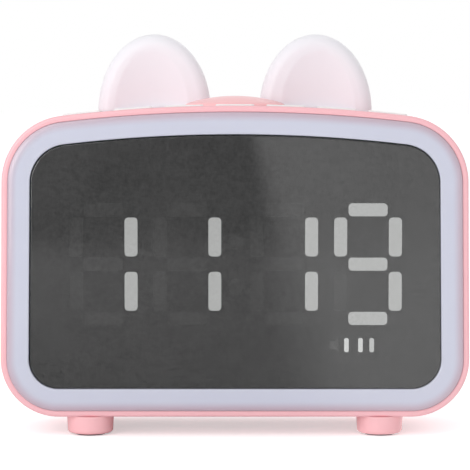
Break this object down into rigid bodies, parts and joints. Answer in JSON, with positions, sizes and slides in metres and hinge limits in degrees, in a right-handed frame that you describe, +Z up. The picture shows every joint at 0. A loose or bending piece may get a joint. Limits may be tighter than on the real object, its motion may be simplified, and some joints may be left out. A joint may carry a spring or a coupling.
{
  "type": "alarm clock with night light",
  "caption": "Child's alarm clock and night light: rounded pink case, mirror display in a milky light ring, two lit ears, snooze button and a row of top keys.",
  "frame": {"origin": "on the table, under the middle of the clock", "axes": "+Z up, -Y out of the display, +X to the right as seen from the front"},
  "size_m": [0.15, 0.05, 0.1295],
  "materials": {
    "pink_shell": "pale pink moulded ABS, satin gloss",
    "pink_button": "pale pink moulded ABS, satin",
    "pink_foot": "pale pink moulded ABS, satin",
    "milky_ring": "milky light-spreading polycarbonate, satin",
    "milky_ear": "milky light-spreading polycarbonate with a faint pink tint, satin",
    "white_key": "white moulded ABS, satin",
    "dark_mirror": "grey one-way mirror acrylic, polished",
    "black_housing": "black moulded ABS, matt",
    "lit_diffuser": "white diffuser, lit",
    "unlit_diffuser": "grey diffuser, unlit",
    "circuit_board": "green solder mask on glass laminate",
    "white_board": "white solder mask on glass laminate",
    "led_package": "white lamp package with a yellow lens",
    "screw_steel": "zinc-plated steel",
    "switch_black": "black moulded nylon",
    "chip_black": "black moulded epoxy",
    "capacitor_can": "aluminium can",
    "socket_white": "off-white moulded nylon",
    "port_steel": "plated pressed steel",
    "foam": "black closed-cell foam",
    "speaker_paper": "black speaker cone",
    "magnet_iron": "plated iron magnet pot",
    "cell_can": "metal can in a blue shrink sleeve",
    "ribbon_white": "white flat cable",
    "wire_red": "soft insulated wire",
    "soft_pad": "pale translucent silicone"
  },
  "bodies": {
    "case": {"battery_cell": "cell_can", "battery_cradle": "black_housing", "battery_wires": "wire_red", "capacitors": "capacitor_can", "chips": "chip_black", "cover_screws": "screw_steel", "cradle_screws": "screw_steel", "display_board": "circuit_board", "display_leds": "led_package", "display_reflector": "black_housing", "display_ribbon": "ribbon_white", "display_screws": "screw_steel", "ear_board": "white_board", "ear_board_screws": "screw_steel", "ear_leds": "led_package", "ear_left": "milky_ear", "ear_ribbon": "ribbon_white", "ear_right": "milky_ear", "feet": "pink_foot", "foot_pads": "soft_pad", "foot_screws": "screw_steel", "front_shell": "pink_shell", "key_board": "circuit_board", "key_board_screws": "screw_steel", "key_ribbon": "ribbon_white", "key_switches": "switch_black", "light_ring": "milky_ring", "lit_segments": "lit_diffuser", "main_board": "circuit_board", "main_board_screws": "screw_steel", "mirror_panel": "dark_mirror", "power_switch": "port_steel", "rear_cover": "pink_shell", "ring_board": "white_board", "ring_board_screws": "screw_steel", "ring_leds": "led_package", "snooze_switch": "switch_black", "speaker_basket": "port_steel", "speaker_cone": "speaker_paper", "speaker_gasket": "foam", "speaker_icon": "unlit_diffuser", "speaker_magnet": "magnet_iron", "speaker_wires": "wire_red", "unlit_segments": "unlit_diffuser", "usb_port": "port_steel", "volume_bars": "lit_diffuser", "wire_sockets": "socket_white"},
    "key_1": {"key_1": "white_key"},
    "key_2": {"key_2": "white_key"},
    "key_3": {"key_3": "white_key"},
    "key_4": {"key_4": "white_key"},
    "key_5": {"key_5": "white_key"},
    "key_6": {"key_6": "white_key"},
    "key_7": {"key_7": "white_key"},
    "snooze_button": {"snooze_button": "pink_button"},
    "switch_knob": {"switch_knob": "switch_black"}
  },
  "joints": [
    {"name": "key_1_press", "type": "slide", "parent": "case", "child": "key_1", "axis": [0, 0, -1], "range_m": [0, 0.0008], "stiffness_N_per_m": 1500, "springref_m": -0.0002},
    {"name": "key_2_press", "type": "slide", "parent": "case", "child": "key_2", "axis": [0, 0, -1], "range_m": [0, 0.0008], "stiffness_N_per_m": 1500, "springref_m": -0.0002},
    {"name": "key_3_press", "type": "slide", "parent": "case", "child": "key_3", "axis": [0, 0, -1], "range_m": [0, 0.0008], "stiffness_N_per_m": 1500, "springref_m": -0.0002},
    {"name": "key_4_press", "type": "slide", "parent": "case", "child": "key_4", "axis": [0, 0, -1], "range_m": [0, 0.0008], "stiffness_N_per_m": 1500, "springref_m": -0.0002},
    {"name": "key_5_press", "type": "slide", "parent": "case", "child": "key_5", "axis": [0, 0, -1], "range_m": [0, 0.0008], "stiffness_N_per_m": 1500, "springref_m": -0.0002},
    {"name": "key_6_press", "type": "slide", "parent": "case", "child": "key_6", "axis": [0, 0, -1], "range_m": [0, 0.0008], "stiffness_N_per_m": 1500, "springref_m": -0.0002},
    {"name": "key_7_press", "type": "slide", "parent": "case", "child": "key_7", "axis": [0, 0, -1], "range_m": [0, 0.0008], "stiffness_N_per_m": 1500, "springref_m": -0.0002},
    {"name": "snooze_press", "type": "slide", "parent": "case", "child": "snooze_button", "axis": [0, 0, -1], "range_m": [0, 0.0015], "stiffness_N_per_m": 1500, "springref_m": -0.0002},
    {"name": "power_switch_slide", "type": "slide", "parent": "case", "child": "switch_knob", "axis": [1, 0, 0], "range_m": [0, 0.002]}
  ]
}
